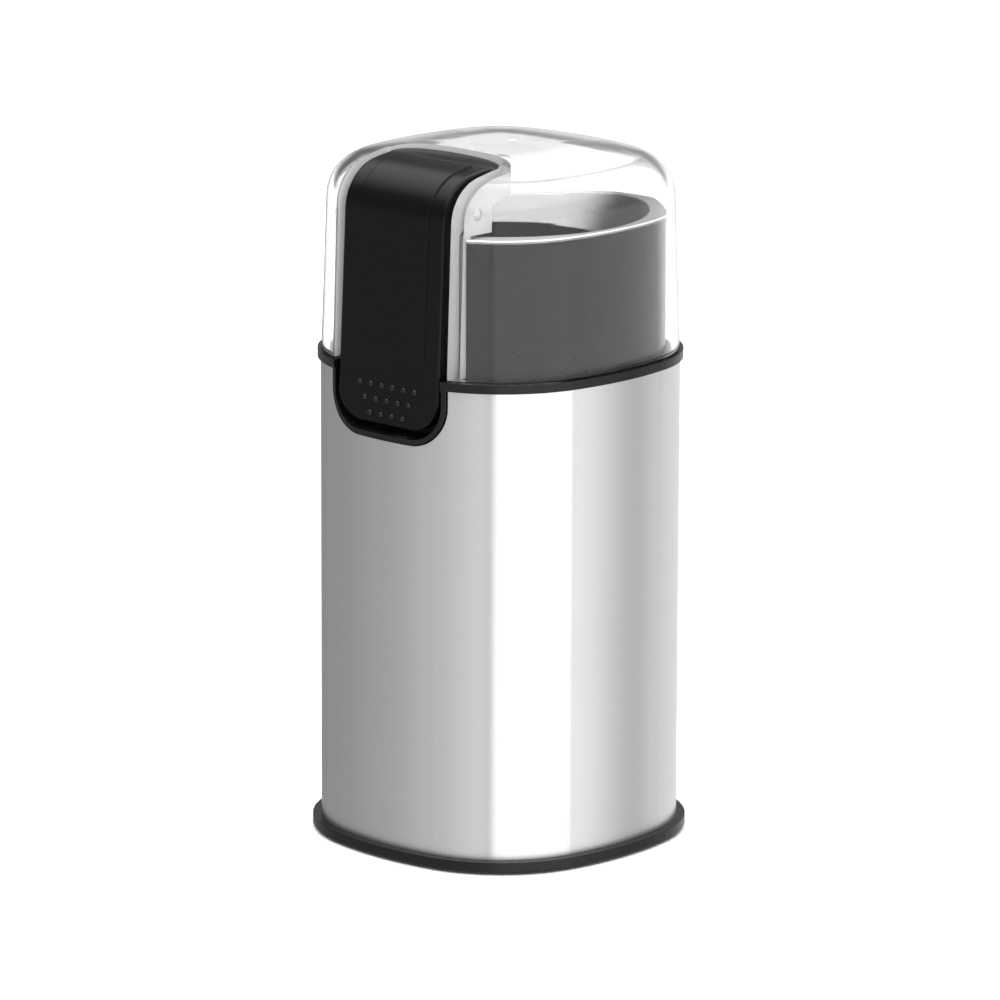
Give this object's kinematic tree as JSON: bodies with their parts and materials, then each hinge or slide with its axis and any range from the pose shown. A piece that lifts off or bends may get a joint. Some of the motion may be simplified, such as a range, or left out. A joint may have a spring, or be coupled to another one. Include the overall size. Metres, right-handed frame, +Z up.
{
  "type": "electric spice grinder",
  "caption": "Blade spice grinder with a steel sleeve, a clear lift-off lid and a black press lever on the lid that starts the motor.",
  "frame": {"origin": "centre of the footprint on the table, under the motor's axis", "axes": "+Z up along the motor's axis, -Y towards the lever, +X to the right seen from the lever"},
  "size_m": [0.0876, 0.0876, 0.175],
  "materials": {
    "sleeve_steel": "horizontally brushed, satin",
    "black_plastic": "fine satin moulding",
    "housing_plastic": "satin moulding",
    "gland_plastic": "satin",
    "foot_rubber": "matt",
    "zinc_steel": "zinc plated",
    "capacitor_case": "glossy potted case",
    "bowl_steel": "bright pressed steel",
    "seal_rubber": "matt",
    "blade_steel": "ground and polished",
    "shaft_steel": "ground",
    "sintered_bronze": "sintered, oily",
    "bracket_aluminium": "die cast",
    "motor_plastic": "glass filled moulding",
    "lamination_steel": "stacked laminations",
    "copper_winding": "enamelled wire",
    "commutator_copper": "turned copper bars",
    "brush_brass": "stamped",
    "carbon": "pressed carbon",
    "spring_steel": "drawn wire",
    "fan_plastic": "natural moulding",
    "mount_rubber": "matt",
    "plunger_plastic": "natural acetal",
    "switch_plastic": "moulded",
    "button_plastic": "moulded",
    "lever_plastic": "satin moulding",
    "pin_steel": "ground",
    "clear_plastic": "clear, lightly smoked, polished"
  },
  "bodies": {
    "base": {"metal_sleeve": "sleeve_steel", "base_cover": "black_plastic", "rubber_feet": "foot_rubber", "base_screws": "zinc_steel", "cord_gland": "gland_plastic", "suppressor_capacitor": "capacitor_case", "inner_housing": "housing_plastic", "cup_surround": "housing_plastic", "top_collar": "black_plastic", "bowl": "bowl_steel", "shaft_seal": "seal_rubber", "upper_bearing": "sintered_bronze", "lower_bearing": "sintered_bronze", "upper_bracket": "bracket_aluminium", "lower_bracket": "motor_plastic", "stator_core": "lamination_steel", "field_coils": "copper_winding", "brush_holders": "brush_brass", "carbon_brushes": "carbon", "brush_springs": "spring_steel", "vibration_mounts": "mount_rubber", "motor_screws": "zinc_steel", "plunger_spring": "spring_steel", "switch_body": "switch_plastic"},
    "plunger": {"switch_plunger": "plunger_plastic"},
    "button": {"switch_button": "button_plastic"},
    "lid": {"lid_shell": "clear_plastic", "lever_pin": "pin_steel"},
    "lever": {"lever": "lever_plastic"},
    "rotor": {"rotor_shaft": "shaft_steel", "blade": "blade_steel", "blade_nut": "zinc_steel", "armature_core": "lamination_steel", "armature_winding": "copper_winding", "commutator": "commutator_copper", "cooling_fan": "fan_plastic"}
  },
  "joints": [
    {"name": "rotor_spin", "type": "hinge", "parent": "base", "child": "rotor", "pos_m": [0, 0, 0.06], "axis": [0, 0, 1], "continuous": true},
    {"name": "lid_lift", "type": "slide", "parent": "base", "child": "lid", "axis": [0, 0, 1], "range_m": [0, 0.06]},
    {"name": "lever_press", "type": "hinge", "parent": "lid", "child": "lever", "pos_m": [0, -0.03, 0.1637], "axis": [1, 0, 0], "range_deg": [0, 2.4], "stiffness_Nm_per_rad": 0.3, "springref_deg": -0.57},
    {"name": "plunger_push", "type": "slide", "parent": "base", "child": "plunger", "axis": [0, 1, 0], "range_m": [0, 0.0022], "deforming": ["plunger_spring"]},
    {"name": "button_push", "type": "slide", "parent": "base", "child": "button", "axis": [0, 1, 0], "range_m": [0, 0.0022]}
  ],
  "couplings": [
    {"joint": "plunger_push", "follows": "lever_press", "m_per_rad": 0.05183},
    {"joint": "button_push", "follows": "lever_press", "m_per_rad": 0.05183}
  ]
}
